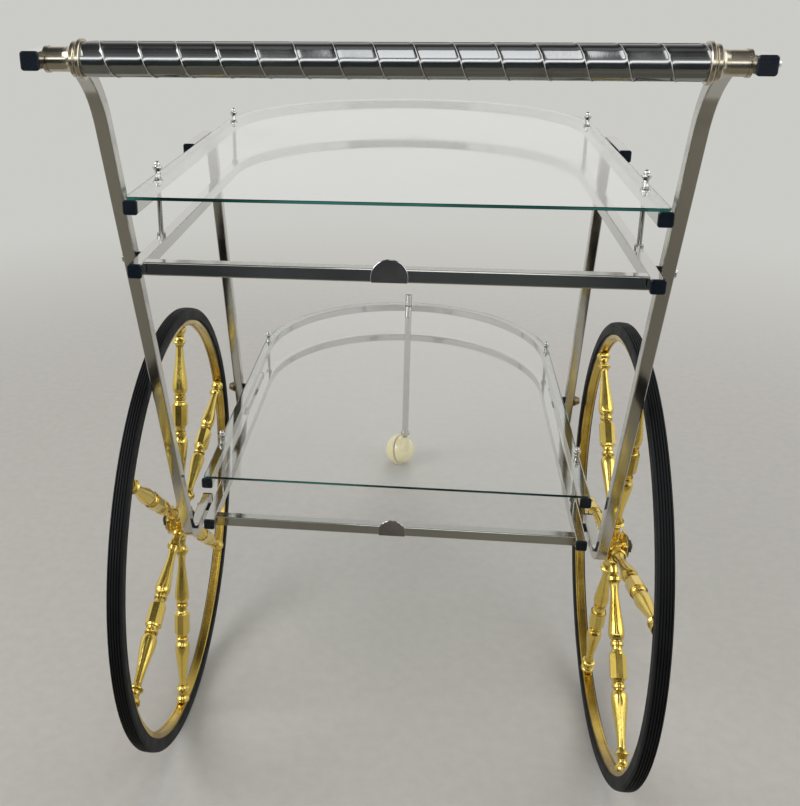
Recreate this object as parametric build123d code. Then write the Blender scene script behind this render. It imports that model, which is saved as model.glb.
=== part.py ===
"""Bar cart on two tall spoked wheels and one ball caster.

Two glass shelves lie on D-shaped gallery rails of square tube. Two bent front legs
carry the push handle and the wheel axles, and two rear legs tie the shelves together.
X runs across the cart, Y from the handle end to the caster end, Z up from the floor.
"""

import math
import os

from build123d import *

PARTS_FOLDER = "parts"

# Clearances
BODY_GAP = 0.3
RUNNING_GAP = 0.05
HOLE_GAP = 0.1
SEAT_GAP = 0.05
CUT_OVERRUN = 1.0
EDGE_BREAK = 1.0

# Square tube of the frame
TUBE = 10.5
TUBE_WALL = 1.1
TUBE_CORNER = 1.1
TUBE_INNER_CORNER = 0.4
CAP_FLANGE = 2.0
CAP_LIP = 0.35
CAP_CORNER = 2.0
CAP_PLUG = 7.0
CAP_EDGE = 0.6
LEG_GAP = 3.2

# Shelves; the near ends are measured from the wheel axle
RAIL_HALF = 191.0
RAIL_STRAIGHT = 377.0
RAIL_RISE = 49.0
SHELF_RISE = 336.0
UPPER_NEAR = -196.0
LOWER_NEAR = -6.0
CROSSBAR_SETBACK = 13.25
GLASS_BED = 0.15
GLASS_THICK = 2.5
GLASS_EDGE = 0.4
GLASS_INSET = 1.8
GLASS_CORNER = 4.0
ROD_RADIUS = 2.0
ROD_STUD_RADIUS = 1.2
ROD_COLLAR_RADIUS = 3.6
ROD_COLLAR_HEIGHT = 2.5
ROD_WALL_GAP = 0.45
ROD_NEAR_SETBACK = 85.0
ROD_FAR_TURN = 5.5
BADGE_RADIUS = 14.0
BADGE_CENTRE = 4.3
BADGE_THICK = 1.2
BADGE_EDGE = 0.4

# Finial on each gallery rod
FINIAL_BASE_RADIUS = 2.3
FINIAL_BASE_HEIGHT = 2.1
FINIAL_CUP_RADIUS = 4.2
FINIAL_CUP_LOW = 5.3
FINIAL_CUP_HIGH = 6.3
FINIAL_BALL_RADIUS = 2.7
FINIAL_BALL_HEIGHT = 7.8
FINIAL_SOCKET = 6.0
FINIAL_HOLE_GAP = 0.5

# Legs; every run is given in the plane of the leg, from the axle along Y
FRONT_STUB_END = 48.0
FRONT_CORNER = -31.0
FRONT_LEAN = 0.3755
FRONT_BEND = 32.0
HANDLE_BEND = 85.0
HANDLE_RISE = 165.0
HANDLE_Y = -306.0
LEG_END = -318.0
REAR_TOP_END = 45.0
REAR_TOP_CORNER = 138.0
REAR_WHEEL_GAP = 30.0
REAR_STUB_OVERHANG = 13.0
REAR_BEND = 25.0

# Screws that hold the legs to the rails
STUB_SCREW_Y = 30.0
REAR_TOP_SCREW_Y = 90.0
REAR_STUB_SCREW_SETBACK = 41.0
SCREW_RADIUS = 2.5
SCREW_HEAD_RADIUS = 4.6
SCREW_HEAD_HEIGHT = 2.2
SCREW_REACH = 6.0
SCREW_SLOT = 1.0
SCREW_SLOT_DEPTH = 0.8
SPACER_RADIUS = 4.4
BRACE_HEAD_RADIUS = 6.5
BRACE_NOSE_RADIUS = 3.6
BRACE_HEAD_HEIGHT = 7.0

# Push handle
GRIP_RADIUS = 10.1
GRIP_BORE = 8.6
CORE_RADIUS = 5.0
COLLAR_WIDTH = 6.8
COLLAR_RADIUS = 12.0
COLLAR_OUTER_RADIUS = 10.5
COLLAR_GROOVE_RADIUS = 9.5
COLLAR_GROOVE = 1.2
COLLAR_EDGE = 0.5
COLLAR_SPIGOT = 6.0
FERRULE_LENGTH = 16.6
FERRULE_RADIUS = 7.3
FERRULE_FLARE_RADIUS = 9.4
FERRULE_FLARE = 4.5
FERRULE_FLANGE_RADIUS = 7.9
FERRULE_FLANGE = 2.2
HANDLE_SCREW_RADIUS = 2.0
HANDLE_SCREW_HEAD_RADIUS = 3.3
HANDLE_SCREW_HEAD_HEIGHT = 5.4
HANDLE_SCREW_DEPTH = 11.0

# Wheels
WHEEL_RADIUS = 225.0
TYRE_WIDTH = 14.0
TYRE_DEPTH = 13.0
TREAD_GROOVES = 5
TREAD_PITCH = 2.3
GROOVE_WIDTH = 1.1
GROOVE_DEPTH = 1.2
TREAD_CROWN = 0.02
TYRE_SHOULDER = 1.4
TYRE_BEAD = 1.2
RIM_WIDTH = 10.0
RIM_DEPTH = 5.0
RIM_CHANNEL = 1.0
RIM_LIP = 2.2
AXLE_RADIUS = 4.0
AXLE_RECESS = 0.2
AXLE_GRIP = 2.7
WASHER_THICK = 1.5
WASHER_RADIUS = 11.0
HUB_INNER = 10.4
HUB_OUTER = 12.7
HUB_RADIUS = 10.0
HUB_FLANGE_RADIUS = 15.0
HUB_FLANGE = 2.4
NUT_FLATS = 12.0
NUT_HEX_HEIGHT = 3.2
NUT_CROWN_RADIUS = 5.4
NUT_TOP_RADIUS = 3.0
NUT_HEIGHT = 4.7
SPOKE_COUNT = 6
SPOKE_TENON_RADIUS = 2.5
SPOKE_TENON_START = 7.7
SPOKE_FOOT_RADIUS = 7.0
SPOKE_FOOT_TENON_RADIUS = 2.0
SPOKE_FOOT_TENON = 3.8
SPOKE_BARREL_RADIUS = 8.2
SPOKE_BARREL_SIDES = 8
LEFT_WHEEL_ANGLE = 20.0
RIGHT_WHEEL_ANGLE = 46.0

# Caster
POST_RADIUS = 5.0
POST_BOTTOM = 59.0
POST_RISE = 76.0
POST_BORE_RADIUS = 3.5
POST_BORE_TOP = 112.0
POST_NOTCH_GAP = 1.5
POST_COLLAR_RADIUS = 7.4
POST_COLLAR_LOW = 60.0
POST_COLLAR_HIGH = 66.0
POST_SCREW_RADIUS = 2.0
POST_SCREW_HEAD_RADIUS = 4.0
POST_SCREW_HEAD_HEIGHT = 2.2
POST_SCREW_GRIP = 6.0
BALL_RADIUS = 25.0
HOOD_RADIUS = 22.6
SPLIT_GAP = 2.0
CASTER_TURN = 26.0
CASTER_TILT = 12.0
CASTER_SIDE = 12.0
CASTER_TRAIL = 10.0
STEM_TOP = 108.0
STEM_BOTTOM = 30.0
HOOD_BOSS_RADIUS = 6.5
HOOD_BOSS_TOP = 56.0
CASTER_AXLE_RADIUS = 2.5
CASTER_AXLE_REACH = 13.0

# Places that follow from the sizes above; the axle runs through the leg stub beside the lower rail
LOWER_RAIL_Z = WHEEL_RADIUS
UPPER_RAIL_Z = LOWER_RAIL_Z + SHELF_RISE
HANDLE_Z = UPPER_RAIL_Z + HANDLE_RISE
POST_TOP = LOWER_RAIL_Z + POST_RISE
REAR_BOTTOM_CORNER = WHEEL_RADIUS + REAR_WHEEL_GAP
TYRE_SEAT_RADIUS = WHEEL_RADIUS - TYRE_DEPTH
RIM_INNER_RADIUS = TYRE_SEAT_RADIUS - RIM_DEPTH
RAIL_OUTER = RAIL_HALF + TUBE / 2
RAIL_INNER = RAIL_HALF - TUBE / 2
LEG_X = RAIL_OUTER + LEG_GAP + TUBE / 2
LEG_INNER = LEG_X - TUBE / 2
LEG_OUTER = LEG_X + TUBE / 2
COLLAR_CENTRE = LEG_INNER - FERRULE_LENGTH - COLLAR_WIDTH / 2
HUB_START = LEG_OUTER + WASHER_THICK + BODY_GAP
WHEEL_X = HUB_START + HUB_INNER
OUTER_WASHER_START = WHEEL_X + HUB_OUTER + BODY_GAP
NUT_START = OUTER_WASHER_START + WASHER_THICK
AXLE_END = NUT_START + AXLE_GRIP
ARC_CENTRE = RAIL_STRAIGHT
ROD_HALF = RAIL_OUTER - TUBE_WALL - ROD_WALL_GAP - ROD_RADIUS
ROD_FAR_X = ROD_HALF * math.cos(math.radians(ROD_FAR_TURN))
ROD_FAR_Y = ARC_CENTRE + ROD_HALF * math.sin(math.radians(ROD_FAR_TURN))
ROD_STATIONS = ((ROD_HALF, ROD_NEAR_SETBACK), (ROD_FAR_X, ROD_FAR_Y))
REAR_BOTTOM_END = LOWER_NEAR + ARC_CENTRE + REAR_STUB_OVERHANG
REAR_BOTTOM_SCREW_Y = LOWER_NEAR + ARC_CENTRE - REAR_STUB_SCREW_SETBACK
POST_Y = LOWER_NEAR + ARC_CENTRE + RAIL_INNER - POST_RADIUS - SEAT_GAP
CART_FRONT = -(LEG_END - CAP_FLANGE)
CASTER_FLAT = Vector(-math.cos(math.radians(CASTER_TURN)), math.sin(math.radians(CASTER_TURN)), 0)
CASTER_AHEAD = Vector(math.sin(math.radians(CASTER_TURN)), math.cos(math.radians(CASTER_TURN)), 0)
CASTER_OFFSET = CASTER_FLAT * CASTER_SIDE + CASTER_AHEAD * CASTER_TRAIL
CART_BACK = POST_Y + CASTER_OFFSET.Y + BALL_RADIUS
AXLE_Y = (CART_FRONT - CART_BACK) / 2
BRACE_Z = LOWER_RAIL_Z + RAIL_RISE
REAR_SLOPE = (REAR_BOTTOM_CORNER - REAR_TOP_CORNER) / (UPPER_RAIL_Z + RAIL_RISE - LOWER_RAIL_Z)
BRACE_Y = REAR_BOTTOM_CORNER - REAR_SLOPE * RAIL_RISE
FRONT_SCREW_Y = FRONT_CORNER - FRONT_LEAN * (UPPER_RAIL_Z - LOWER_RAIL_Z)
SIDES = (-1, 1)
RIGHT = (1, 0, 0)
BACK = (0, 1, 0)
UP = (0, 0, 1)
ABOVE = (Align.CENTER, Align.CENTER, Align.MIN)
BELOW = (Align.CENTER, Align.CENTER, Align.MAX)


def place(x, y, z):
    """Point of the cart from a Y that is measured from the wheel axle."""
    return (x, y + AXLE_Y, z)


def solids_of(shape):
    """Every separate solid of a shape or of a list of shapes."""
    if isinstance(shape, (list, tuple)):
        return [solid for piece in shape for solid in solids_of(piece)]
    return list(shape.solids())


def save(name, shape):
    """Write one node; a group of like pieces stays a set of separate solids."""
    solids = solids_of(shape)
    node = solids[0] if len(solids) == 1 else Compound(solids)
    export_step(node, os.path.join(PARTS_FOLDER, name + ".step"))
    print(name, len(solids))


def bar(start, direction, radius, length):
    """Round bar from a start point along a direction."""
    return Part() + Solid.make_cylinder(radius, length, Plane(origin=start, z_dir=direction))


def turned(profile):
    """Solid of revolution about local Z through (radius, height) points taken in order."""
    outline = Polyline([(radius, 0, height) for radius, height in profile], close=True)
    return revolve(make_face(outline), axis=Axis.Z)


def seated(shape, start, direction):
    """A turned piece moved so that its local Z starts at a point and runs along a direction."""
    return Plane(origin=start, z_dir=direction).location * shape


def bent_path(points, radii):
    """Wire of straight runs through the points, with each corner rounded to its bend radius."""
    corners = [Vector(point) for point in points]
    edges = []
    start = corners[0]
    for before, corner, after, radius in zip(corners, corners[1:], corners[2:], radii):
        back = (before - corner).normalized()
        ahead = (after - corner).normalized()
        half_angle = math.radians(back.get_angle(ahead)) / 2
        entry = corner + back * (radius / math.tan(half_angle))
        leave = corner + ahead * (radius / math.tan(half_angle))
        middle = corner + (back + ahead).normalized() * (radius / math.sin(half_angle) - radius)
        edges.append(Edge.make_line(start, entry))
        edges.append(Edge.make_three_point_arc(entry, middle, leave))
        start = leave
    edges.append(Edge.make_line(start, corners[-1]))
    return Wire(edges)


def tube_along(path, side):
    """Hollow square tube with rounded corners swept along a wire; side is a direction across it."""
    plane = Plane(origin=path @ 0, x_dir=side, z_dir=path % 0)
    outer = plane * RectangleRounded(TUBE, TUBE, TUBE_CORNER)
    hollow = TUBE - 2 * TUBE_WALL
    inner = plane * RectangleRounded(hollow, hollow, TUBE_INNER_CORNER)
    return Part() + sweep(outer, path=path) - sweep(inner, path=path)


def rail_path(near, z):
    """Plan of a gallery rail: two straight sides joined by a half circle at the far end."""
    start = near + CAP_FLANGE
    bend = near + ARC_CENTRE
    left = Edge.make_line(place(-RAIL_HALF, start, z), place(-RAIL_HALF, bend, z))
    arc = Edge.make_three_point_arc(
        place(-RAIL_HALF, bend, z),
        place(0, bend + RAIL_HALF, z),
        place(RAIL_HALF, bend, z),
    )
    right = Edge.make_line(place(RAIL_HALF, bend, z), place(RAIL_HALF, start, z))
    return Wire([left, arc, right])


def rod_points(near, z):
    """The four gallery rod positions of a shelf at one height."""
    return [place(side * x, near + y, z) for side in SIDES for x, y in ROD_STATIONS]


def side_holes(shape, y, z, radius, from_x, to_x):
    """Cut a hole across X through both mirrored sides between two distances from the middle."""
    for side in SIDES:
        shape = shape - bar(place(side * from_x, y, z), (side, 0, 0), radius, to_x - from_x)
    return shape


def end_cap(point, outward):
    """Square plastic cap: a flange that stands a little proud of the tube's end and a plug inside it."""
    hollow = TUBE - 2 * TUBE_WALL - 2 * HOLE_GAP
    across = UP if abs(outward[1]) == 1 else RIGHT
    plane = Plane(origin=point, x_dir=across, z_dir=outward)
    across_flange = TUBE + 2 * CAP_LIP
    flange = extrude(plane * RectangleRounded(across_flange, across_flange, CAP_CORNER), amount=CAP_FLANGE)
    face = flange.faces().sort_by(Axis(point, outward))[-1]
    flange = chamfer(face.edges(), CAP_EDGE)
    plug = extrude(plane * RectangleRounded(hollow, hollow, TUBE_INNER_CORNER), amount=-CAP_PLUG)
    return Part() + flange + plug


def shelf(name, near, z, screws):
    """One shelf: both rails, crossbar with its badge, glass, gallery rods and finials.

    screws lists (rail index, Y, radius) of the leg screws that enter the rails' outer walls.
    """
    levels = (z, z + RAIL_RISE)
    glass_z = levels[1] + TUBE / 2 + CAP_LIP + GLASS_BED
    for index, label in enumerate(("bottom", "top")):
        rail = tube_along(rail_path(near, levels[index]), UP)
        for rail_index, y, radius in screws:
            if rail_index == index:
                reach = RAIL_OUTER + CUT_OVERRUN
                rail = side_holes(rail, y, levels[index], radius + HOLE_GAP, RAIL_HALF, reach)
        for point in rod_points(near, levels[index] if index == 0 else z):
            rail = rail - bar(point, UP, ROD_RADIUS + HOLE_GAP, 2 * RAIL_RISE)
        if name == "lower_shelf":
            apex = place(0, near + ARC_CENTRE + RAIL_INNER - TUBE, levels[index])
            rail = rail - bar(apex, BACK, POST_SCREW_RADIUS + HOLE_GAP, 3 * TUBE)
        save(name + "_" + label + "_rail", rail)

    bar_y = near + CROSSBAR_SETBACK
    span = Wire([Edge.make_line(place(-RAIL_INNER, bar_y, z), place(RAIL_INNER, bar_y, z))])
    save(name + "_crossbar", tube_along(span, UP))

    toward = (0, -1, 0)
    face = Plane(origin=place(0, bar_y - TUBE / 2, z - TUBE / 2), x_dir=RIGHT, z_dir=toward)
    disc = Pos(0, BADGE_CENTRE) * Circle(BADGE_RADIUS)
    below = Rectangle(2 * BADGE_RADIUS, 2 * BADGE_RADIUS, align=(Align.CENTER, Align.MAX))
    badge = extrude(face * (disc - below), amount=BADGE_THICK)
    front = badge.faces().sort_by(Axis(face.origin, toward))[-1]
    save(name + "_badge", chamfer(front.edges(), BADGE_EDGE))

    sheet = Plane(origin=place(0, near, glass_z))
    half = RAIL_OUTER - GLASS_INSET
    straight = Rectangle(2 * half, ARC_CENTRE, align=(Align.CENTER, Align.MIN))
    straight = fillet(straight.vertices().group_by(Axis.Y)[0], GLASS_CORNER)
    outline = straight + Pos(0, ARC_CENTRE) * Circle(half)
    glass = extrude(sheet * outline, amount=GLASS_THICK)
    rims = glass.faces().sort_by(Axis.Z)
    glass = chamfer(rims[0].edges() + rims[-1].edges(), GLASS_EDGE)
    cut_z = glass_z - CUT_OVERRUN
    cut_height = GLASS_THICK + 2 * CUT_OVERRUN
    for point in rod_points(near, cut_z):
        glass = glass - bar(point, UP, FINIAL_BASE_RADIUS + FINIAL_HOLE_GAP, cut_height)
    if name == "lower_shelf":
        notch_radius = POST_RADIUS + POST_NOTCH_GAP
        notch = bar(place(0, POST_Y, cut_z), UP, notch_radius, cut_height)
        mouth = Pos(*place(0, POST_Y, cut_z)) * Box(
            2 * notch_radius, 2 * TUBE, cut_height, align=(Align.CENTER, Align.MIN, Align.MIN)
        )
        glass = glass - notch - mouth
    save(name + "_glass", glass)

    rod_foot = z + TUBE / 2 - TUBE_WALL - ROD_RADIUS
    rod_length = glass_z - rod_foot
    stud_length = rod_length + GLASS_THICK + FINIAL_SOCKET - HOLE_GAP
    rods = [
        bar(point, UP, ROD_RADIUS, rod_length) + bar(point, UP, ROD_STUD_RADIUS, stud_length)
        for point in rod_points(near, rod_foot)
    ]
    collar_z = z + TUBE / 2 + SEAT_GAP
    collars = [bar(point, UP, ROD_COLLAR_RADIUS, ROD_COLLAR_HEIGHT) for point in rod_points(near, collar_z)]
    save(name + "_rods", [rod + collar for rod, collar in zip(rods, collars)])
    save(name + "_finials", [seated(finial(), point, UP) for point in rod_points(near, glass_z)])


def finial():
    """Turned knob on a gallery rod, bored for the stud.

    The foot stands on the rod's shoulder and passes through the glass. Above the glass it flares
    to a cup that keeps the sheet down, with a ball in the cup.
    """
    top = GLASS_THICK
    cup = turned([
        (0, 0),
        (FINIAL_BASE_RADIUS, 0),
        (FINIAL_BASE_RADIUS, top + FINIAL_BASE_HEIGHT),
        (FINIAL_CUP_RADIUS, top + FINIAL_CUP_LOW),
        (FINIAL_CUP_RADIUS, top + FINIAL_CUP_HIGH),
        (0, top + FINIAL_CUP_HIGH),
    ])
    ball = Pos(0, 0, top + FINIAL_BALL_HEIGHT) * Sphere(FINIAL_BALL_RADIUS)
    depth = top + FINIAL_SOCKET + CUT_OVERRUN
    socket = bar((0, 0, -CUT_OVERRUN), UP, ROD_STUD_RADIUS + HOLE_GAP, depth)
    return Part() + cup + ball - socket


def front_leg(side):
    """Leg from the axle stub up to the handle end, drilled for axle, screws and handle."""
    x = side * LEG_X
    handle_corner = FRONT_CORNER - FRONT_LEAN * (HANDLE_Z - LOWER_RAIL_Z)
    path = bent_path(
        [
            place(x, FRONT_STUB_END, LOWER_RAIL_Z),
            place(x, FRONT_CORNER, LOWER_RAIL_Z),
            place(x, handle_corner, HANDLE_Z),
            place(x, LEG_END, HANDLE_Z),
        ],
        (FRONT_BEND, HANDLE_BEND),
    )
    leg = tube_along(path, RIGHT)
    holes = (
        (0, WHEEL_RADIUS, AXLE_RADIUS),
        (STUB_SCREW_Y, LOWER_RAIL_Z, SCREW_RADIUS),
        (FRONT_SCREW_Y, UPPER_RAIL_Z, SCREW_RADIUS),
        (HANDLE_Y, HANDLE_Z, HANDLE_SCREW_RADIUS),
    )
    for y, z, radius in holes:
        start = place(side * (LEG_INNER - CUT_OVERRUN), y, z)
        leg = leg - bar(start, (side, 0, 0), radius + HOLE_GAP, TUBE + 2 * CUT_OVERRUN)
    return leg


def rear_leg(side):
    """Brace from the upper shelf's top rail down to the lower shelf's bottom rail."""
    x = side * LEG_X
    top = UPPER_RAIL_Z + RAIL_RISE
    path = bent_path(
        [
            place(x, REAR_TOP_END, top),
            place(x, REAR_TOP_CORNER, top),
            place(x, REAR_BOTTOM_CORNER, LOWER_RAIL_Z),
            place(x, REAR_BOTTOM_END, LOWER_RAIL_Z),
        ],
        (REAR_BEND, REAR_BEND),
    )
    leg = tube_along(path, RIGHT)
    for y, z in ((REAR_TOP_SCREW_Y, top), (BRACE_Y, BRACE_Z), (REAR_BOTTOM_SCREW_Y, LOWER_RAIL_Z)):
        start = place(side * (LEG_INNER - CUT_OVERRUN), y, z)
        leg = leg - bar(start, (side, 0, 0), SCREW_RADIUS + HOLE_GAP, TUBE + 2 * CUT_OVERRUN)
    return leg


def screw(point, direction, radius, length, head_radius, head_height):
    """Slotted round-headed screw; the point lies under the head and the direction runs along the shank."""
    crown = head_radius * 0.55
    head = turned([
        (0, 0),
        (head_radius, 0),
        (head_radius, -0.35 * head_height),
        (head_radius * 0.85, -0.75 * head_height),
        (crown, -head_height),
        (0, -head_height),
    ])
    shank = bar((0, 0, 0), UP, radius, length)
    cutter = Box(2 * head_radius, SCREW_SLOT, head_height, align=BELOW)
    slot = Pos(0, 0, SCREW_SLOT_DEPTH - head_height) * cutter
    return seated(Part() + head + shank - slot, point, direction)


def brace_bolt(side):
    """Dark bolt with a cone head that holds a rear leg to the lower shelf's top rail."""
    head = turned([
        (0, 0),
        (BRACE_HEAD_RADIUS, 0),
        (BRACE_HEAD_RADIUS, -0.2 * BRACE_HEAD_HEIGHT),
        (BRACE_NOSE_RADIUS, -BRACE_HEAD_HEIGHT),
        (0, -BRACE_HEAD_HEIGHT),
    ])
    shank = bar((0, 0, 0), UP, SCREW_RADIUS, TUBE + LEG_GAP + SCREW_REACH)
    return seated(Part() + head + shank, place(side * LEG_OUTER, BRACE_Y, BRACE_Z), (-side, 0, 0))


def collar():
    """Two thin rings that close one end of the grip, the larger one next to it, with a spigot inside."""
    half = COLLAR_WIDTH / 2
    groove = COLLAR_GROOVE / 2
    spigot_end = -half - COLLAR_SPIGOT
    return turned([
        (CORE_RADIUS + SEAT_GAP, spigot_end),
        (GRIP_BORE - HOLE_GAP, spigot_end),
        (GRIP_BORE - HOLE_GAP, -half),
        (COLLAR_RADIUS - COLLAR_EDGE, -half),
        (COLLAR_RADIUS, -half + COLLAR_EDGE),
        (COLLAR_RADIUS, -groove - COLLAR_EDGE),
        (COLLAR_RADIUS - COLLAR_EDGE, -groove),
        (COLLAR_GROOVE_RADIUS, -groove),
        (COLLAR_GROOVE_RADIUS, groove),
        (COLLAR_OUTER_RADIUS - COLLAR_EDGE, groove),
        (COLLAR_OUTER_RADIUS, groove + COLLAR_EDGE),
        (COLLAR_OUTER_RADIUS, half - COLLAR_EDGE),
        (COLLAR_OUTER_RADIUS - COLLAR_EDGE, half),
        (CORE_RADIUS + SEAT_GAP, half),
    ])


def ferrule():
    """Sleeve between collar and leg: flared where it meets the collar, flanged where it meets the leg."""
    flare = FERRULE_FLARE_RADIUS - FERRULE_RADIUS
    flange_start = FERRULE_LENGTH - FERRULE_FLANGE
    return turned([
        (CORE_RADIUS + SEAT_GAP, 0),
        (FERRULE_FLARE_RADIUS, 0),
        (FERRULE_RADIUS + 0.5 * flare, 0.2 * FERRULE_FLARE),
        (FERRULE_RADIUS + 0.2 * flare, 0.5 * FERRULE_FLARE),
        (FERRULE_RADIUS, FERRULE_FLARE),
        (FERRULE_RADIUS, flange_start),
        (FERRULE_FLANGE_RADIUS, flange_start),
        (FERRULE_FLANGE_RADIUS, FERRULE_LENGTH),
        (CORE_RADIUS + SEAT_GAP, FERRULE_LENGTH),
    ])


def handle():
    """Core rod with the grip, collars, ferrules and end screws on it."""
    centre = place(0, HANDLE_Y, HANDLE_Z)
    core = bar(place(-LEG_INNER, HANDLE_Y, HANDLE_Z), RIGHT, CORE_RADIUS, 2 * LEG_INNER)
    for side in SIDES:
        depth = HANDLE_SCREW_DEPTH + CUT_OVERRUN
        start = place(side * (LEG_INNER - depth), HANDLE_Y, HANDLE_Z)
        core = core - bar(start, (side, 0, 0), HANDLE_SCREW_RADIUS + HOLE_GAP, depth + CUT_OVERRUN)
    save("handle_core", core)

    grip_half = COLLAR_CENTRE - COLLAR_WIDTH / 2
    grip = turned([
        (GRIP_BORE, -grip_half),
        (GRIP_RADIUS, -grip_half),
        (GRIP_RADIUS, grip_half),
        (GRIP_BORE, grip_half),
    ])
    save("handle_grip", seated(grip, centre, RIGHT))

    ends = [(side, (side, 0, 0)) for side in SIDES]
    collar_points = [(place(s * COLLAR_CENTRE, HANDLE_Y, HANDLE_Z), d) for s, d in ends]
    save("handle_collars", [seated(collar(), point, way) for point, way in collar_points])
    inner = COLLAR_CENTRE + COLLAR_WIDTH / 2
    ferrule_points = [(place(s * inner, HANDLE_Y, HANDLE_Z), d) for s, d in ends]
    save("handle_ferrules", [seated(ferrule(), point, way) for point, way in ferrule_points])
    screws = [
        screw(
            place(side * LEG_OUTER, HANDLE_Y, HANDLE_Z),
            (-side, 0, 0),
            HANDLE_SCREW_RADIUS,
            TUBE + HANDLE_SCREW_DEPTH,
            HANDLE_SCREW_HEAD_RADIUS,
            HANDLE_SCREW_HEAD_HEIGHT,
        )
        for side in SIDES
    ]
    save("handle_screws", screws)


def frame_hardware():
    """Screws, cone-headed bolts, spacers and end caps of the frame."""
    top = UPPER_RAIL_Z + RAIL_RISE
    seats = (
        (STUB_SCREW_Y, LOWER_RAIL_Z),
        (FRONT_SCREW_Y, UPPER_RAIL_Z),
        (REAR_TOP_SCREW_Y, top),
        (REAR_BOTTOM_SCREW_Y, LOWER_RAIL_Z),
    )
    reach = TUBE + LEG_GAP + SCREW_REACH - TUBE_WALL
    screws = [
        screw(
            place(side * LEG_OUTER, y, z),
            (-side, 0, 0),
            SCREW_RADIUS,
            reach,
            SCREW_HEAD_RADIUS,
            SCREW_HEAD_HEIGHT,
        )
        for side in SIDES
        for y, z in seats
    ]
    save("frame_screws", screws)
    save("brace_bolts", [brace_bolt(side) for side in SIDES])

    ring = turned([
        (SCREW_RADIUS + HOLE_GAP, 0),
        (SPACER_RADIUS, 0),
        (SPACER_RADIUS, LEG_GAP),
        (SCREW_RADIUS + HOLE_GAP, LEG_GAP),
    ])
    places = seats + ((BRACE_Y, BRACE_Z),)
    spacers = [
        seated(ring, place(side * RAIL_OUTER, y, z), (side, 0, 0)) for side in SIDES for y, z in places
    ]
    save("frame_spacers", spacers)

    toward = (0, -1, 0)
    rail_ends = [
        place(side * RAIL_HALF, near + CAP_FLANGE, z + rise)
        for near, z in ((UPPER_NEAR, UPPER_RAIL_Z), (LOWER_NEAR, LOWER_RAIL_Z))
        for rise in (0, RAIL_RISE)
        for side in SIDES
    ]
    save("rail_end_caps", [end_cap(point, toward) for point in rail_ends])
    leg_ends = (
        (FRONT_STUB_END, LOWER_RAIL_Z, BACK),
        (LEG_END, HANDLE_Z, toward),
        (REAR_TOP_END, top, toward),
        (REAR_BOTTOM_END, LOWER_RAIL_Z, BACK),
    )
    caps = [end_cap(place(side * LEG_X, y, z), way) for side in SIDES for y, z, way in leg_ends]
    save("leg_end_caps", caps)


def axles():
    """Axle pins fixed in the front legs, with their washers and low crowned nuts."""
    pins = []
    washers = []
    nuts = []
    ring = turned([
        (AXLE_RADIUS + SEAT_GAP, 0),
        (WASHER_RADIUS, 0),
        (WASHER_RADIUS, WASHER_THICK),
        (AXLE_RADIUS + SEAT_GAP, WASHER_THICK),
    ])
    block = extrude(RegularPolygon(NUT_FLATS / 2, 6, major_radius=False), amount=NUT_HEX_HEIGHT)
    crown = turned([
        (0, 0),
        (NUT_CROWN_RADIUS, 0),
        (NUT_CROWN_RADIUS, NUT_HEX_HEIGHT),
        (NUT_TOP_RADIUS, NUT_HEIGHT),
        (0, NUT_HEIGHT),
    ])
    socket_depth = AXLE_GRIP + SEAT_GAP
    socket = bar((0, 0, -CUT_OVERRUN), UP, AXLE_RADIUS + SEAT_GAP, socket_depth + CUT_OVERRUN)
    nut = Part() + block + crown - socket
    pin_start = LEG_INNER + AXLE_RECESS
    pin_length = AXLE_END - pin_start
    for side in SIDES:
        way = (side, 0, 0)
        pins.append(bar(place(side * pin_start, 0, WHEEL_RADIUS), way, AXLE_RADIUS, pin_length))
        for start in (LEG_OUTER, OUTER_WASHER_START):
            washers.append(seated(ring, place(side * start, 0, WHEEL_RADIUS), way))
        nuts.append(seated(nut, place(side * NUT_START, 0, WHEEL_RADIUS), way))
    save("axle_pins", pins)
    save("axle_washers", washers)
    save("axle_nuts", nuts)


def tyre():
    """Solid tyre with ribs and grooves round its tread, bored for the rim."""
    half = TYRE_WIDTH / 2
    seat = TYRE_SEAT_RADIUS + SEAT_GAP
    points = [(seat, -RIM_WIDTH / 2), (seat + TYRE_BEAD, -half)]
    points.append((WHEEL_RADIUS - 2.5 * TYRE_SHOULDER, -half))
    edge = TREAD_PITCH * TREAD_GROOVES / 2
    points.append((WHEEL_RADIUS - TYRE_SHOULDER, -edge - 0.5 * TYRE_SHOULDER / 2))
    for index in range(TREAD_GROOVES):
        middle = (index - (TREAD_GROOVES - 1) / 2) * TREAD_PITCH
        for place_x, drop in (
            (middle - GROOVE_WIDTH / 2, 0),
            (middle - GROOVE_WIDTH / 4, GROOVE_DEPTH),
            (middle + GROOVE_WIDTH / 4, GROOVE_DEPTH),
            (middle + GROOVE_WIDTH / 2, 0),
        ):
            points.append((WHEEL_RADIUS - TREAD_CROWN * place_x**2 - drop, place_x))
    points.append((WHEEL_RADIUS - TYRE_SHOULDER, edge + 0.5 * TYRE_SHOULDER / 2))
    points.append((WHEEL_RADIUS - 2.5 * TYRE_SHOULDER, half))
    points.append((seat + TYRE_BEAD, half))
    points.append((seat, RIM_WIDTH / 2))
    return turned(points)


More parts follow.
